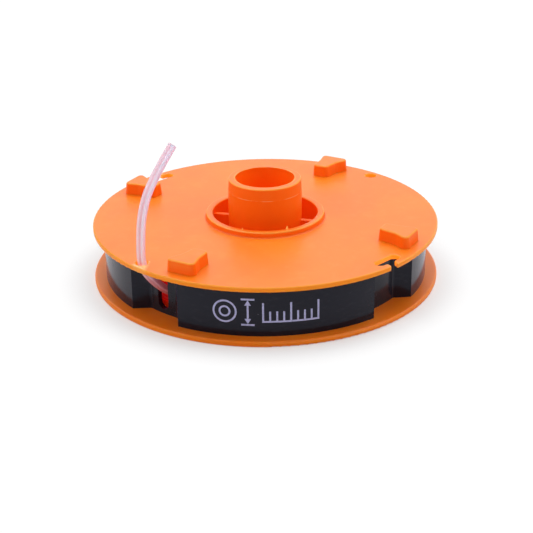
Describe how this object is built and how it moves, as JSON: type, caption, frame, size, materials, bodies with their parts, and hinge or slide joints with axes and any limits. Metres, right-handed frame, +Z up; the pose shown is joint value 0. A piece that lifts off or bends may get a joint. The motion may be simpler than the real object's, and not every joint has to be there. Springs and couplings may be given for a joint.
{
  "type": "trimmer line spool",
  "caption": "Flanged round spool with a raised hub tube, drive cleats on the upper flange, a dark retaining band and a loose end of wound trimmer line.",
  "frame": {"origin": "on the spool's axis, at the underside of the lower flange", "axes": "+Z up along the hub bore, -Y towards the front panel of the band, +X to the right of that panel"},
  "size_m": [0.0846, 0.0846, 0.0406],
  "materials": {
    "spool_plastic": "satin orange moulding",
    "band_plastic": "polished black moulding",
    "line_nylon": "clear red nylon"
  },
  "bodies": {
    "root": {"spool": "spool_plastic", "retaining_band": "band_plastic", "line_winding": "line_nylon", "line_tail": "line_nylon"}
  },
  "joints": []
}
